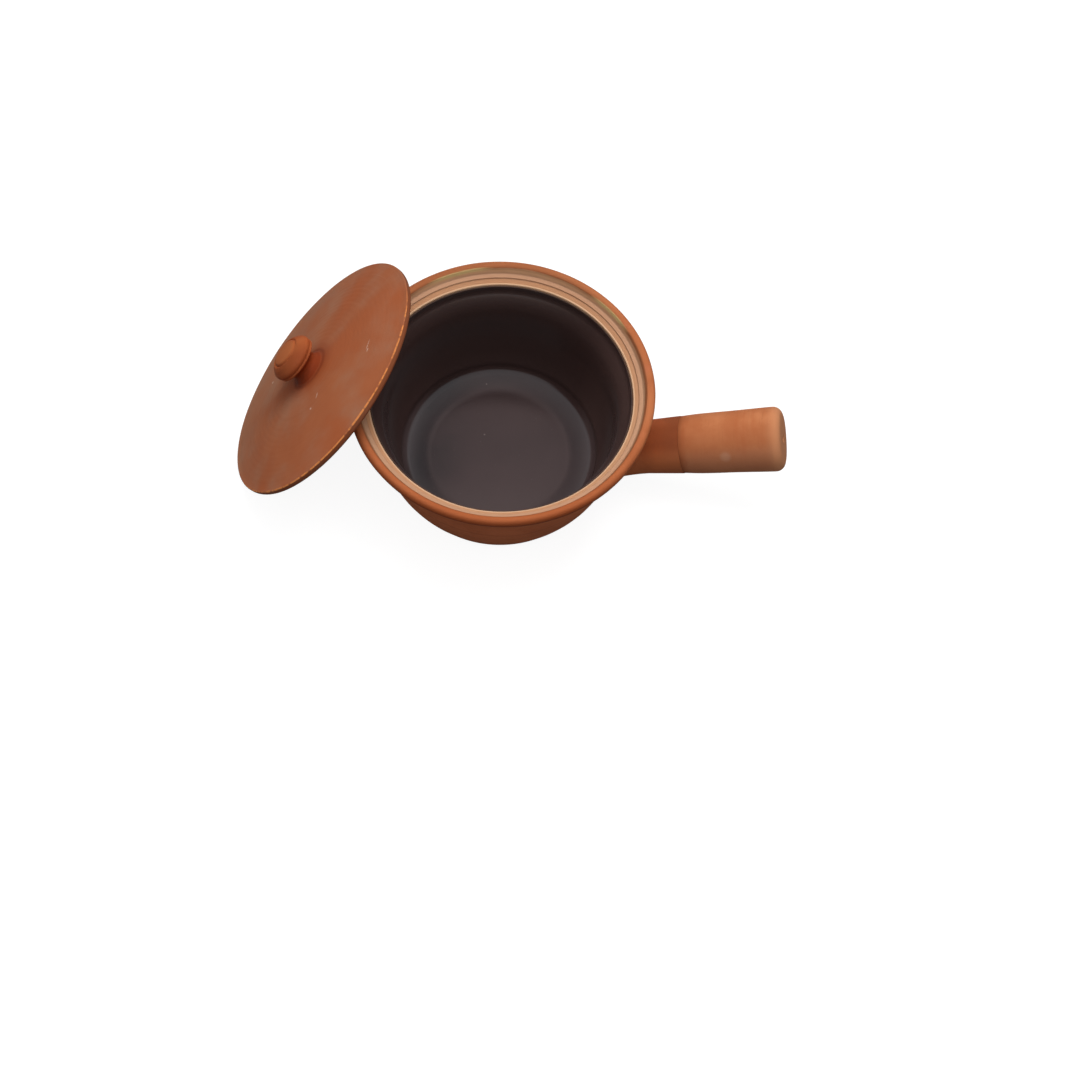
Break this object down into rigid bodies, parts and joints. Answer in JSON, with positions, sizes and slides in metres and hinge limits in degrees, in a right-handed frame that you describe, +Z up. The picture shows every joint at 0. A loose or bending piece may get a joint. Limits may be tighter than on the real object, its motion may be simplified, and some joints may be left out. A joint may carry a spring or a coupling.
{
  "type": "cookware",
  "caption": "Thrown clay saucepan with a dark glazed inside, a stepped lip, a straight hollow handle, and a loose domed lid with a knob leaning on the rim",
  "frame": {"origin": "centre of the flat underside of the pot, on the surface that it stands on", "axes": "+Z up along the pot's turning axis, +X out of the pot above the handle"},
  "size_m": [0.3753, 0.2004, 0.1365],
  "materials": {
    "body_clay": "satin",
    "dark_glaze": "satin",
    "grip_clay": "satin",
    "lid_clay": "satin"
  },
  "bodies": {
    "pot": {"pot_body": "body_clay", "inner_glaze": "dark_glaze", "handle_root": "body_clay", "handle_grip": "grip_clay"},
    "lid": {"lid_plate": "lid_clay", "lid_knob": "lid_clay"}
  },
  "joints": [
    {"name": "lid_lift", "type": "slide", "parent": "pot", "child": "lid", "axis": [0, 0, 1], "range_m": [0, 0.15]}
  ]
}
